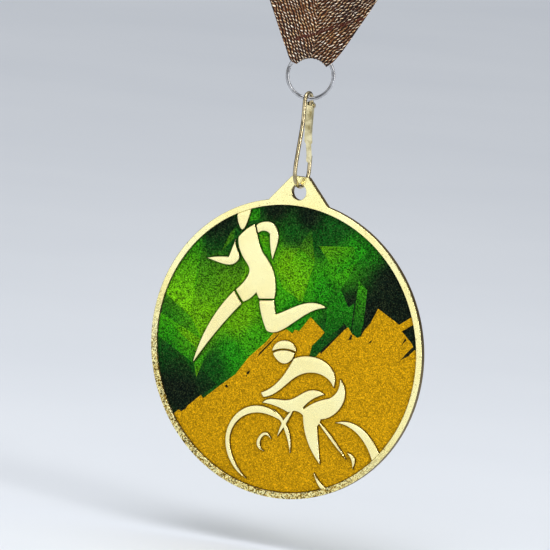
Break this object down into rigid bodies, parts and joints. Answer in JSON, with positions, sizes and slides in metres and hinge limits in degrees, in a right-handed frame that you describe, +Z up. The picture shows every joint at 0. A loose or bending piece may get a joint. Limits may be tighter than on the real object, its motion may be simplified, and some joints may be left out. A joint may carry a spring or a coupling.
{
  "type": "finisher medal",
  "caption": "Round cast sports medal with raised runner and cyclist figures over a two-colour ground, hung by a snap hook and split ring from a folded neck ribbon.",
  "frame": {"origin": "the point inside the ribbon's hanging loop that rests on a peg", "axes": "+Z up, the medal's picture faces -Y, +X to the viewer's right"},
  "size_m": [0.07, 0.0118, 0.2291],
  "materials": {
    "medal_metal": "pale gold plating, satin on the rim",
    "polished_relief": "pale gold plating, polished",
    "green_print": "translucent faceted green over sanded metal",
    "gold_print": "ochre gold over sanded metal",
    "ring_metal": "bright nickel",
    "hook_metal": "pale nickel with a warm tone",
    "gate_metal": "pressed sheet, pale nickel",
    "spring_steel": "bare spring strip",
    "ribbon": "coarse metallic woven tape, copper and gold yarn",
    "thread": "matte sewing thread",
    "band": "plain uncoated paper"
  },
  "bodies": {
    "ribbon": {"ribbon_hang_loop": "ribbon", "ribbon_hank": "ribbon", "hank_band": "band", "ribbon_left_leg": "ribbon", "ribbon_right_leg": "ribbon", "ribbon_stitching": "thread"},
    "ring": {"split_ring": "ring_metal", "ribbon_ring_bight": "ribbon"},
    "hook": {"hook_body": "hook_metal", "gate_pin": "hook_metal"},
    "gate": {"gate": "gate_metal", "gate_spring": "spring_steel"},
    "medal": {"medal_body": "medal_metal", "green_field": "green_print", "gold_field": "gold_print", "runner_head": "polished_relief", "runner_torso": "polished_relief", "runner_front_arm": "polished_relief", "runner_rear_arm": "polished_relief", "runner_front_leg": "polished_relief", "runner_rear_leg": "polished_relief", "cyclist_helmet": "polished_relief", "cyclist_face": "polished_relief", "cyclist_back_and_arm": "polished_relief", "cyclist_legs_and_frame": "polished_relief", "front_hub_arc": "polished_relief", "rear_hub_arc": "polished_relief", "rear_wheel_arc": "polished_relief", "rear_wheel_lower_arc": "polished_relief"}
  },
  "joints": [
    {"name": "ring_swing", "type": "hinge", "parent": "ribbon", "child": "ring", "pos_m": [0, 0, -0.1218], "axis": [0.9063, 0.4226, 0], "range_deg": [-35, 35]},
    {"name": "hook_swing", "type": "hinge", "parent": "ring", "child": "hook", "pos_m": [0, 0, -0.1348], "axis": [0.9063, 0.4226, 0], "range_deg": [-60, 60]},
    {"name": "gate_open", "type": "hinge", "parent": "hook", "child": "gate", "pos_m": [0, 0.00175, -0.13644], "axis": [-1, 0, 0], "range_deg": [0, 20], "stiffness_Nm_per_rad": 0.0005, "springref_deg": -17.19},
    {"name": "medal_swing", "type": "hinge", "parent": "hook", "child": "medal", "pos_m": [0, 0, -0.15539], "axis": [0, 1, 0], "range_deg": [-80, 80]}
  ]
}
